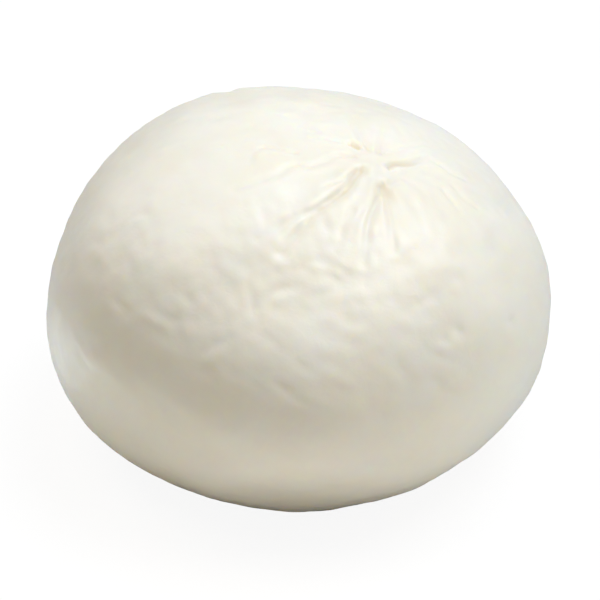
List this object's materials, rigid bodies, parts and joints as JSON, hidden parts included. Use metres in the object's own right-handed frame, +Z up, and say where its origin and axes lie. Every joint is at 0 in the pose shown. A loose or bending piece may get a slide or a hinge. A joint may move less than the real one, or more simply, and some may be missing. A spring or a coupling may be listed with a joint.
{
  "type": "mozzarella ball",
  "caption": "Whole fresh mozzarella ball that sags a little on its base, with folds gathered round an off-centre pinch on top.",
  "frame": {"origin": "centre of the bounding box's base, on the surface that the ball rests on", "axes": "+Z up; +X along the ball's widest side; +Y along its depth, away from the side with the long folds"},
  "size_m": [0.0676, 0.067, 0.0449],
  "materials": {
    "cheese": "moist satin cream-white cheese skin, slightly translucent"
  },
  "bodies": {
    "root": {"mozzarella_ball": "cheese"}
  },
  "joints": []
}
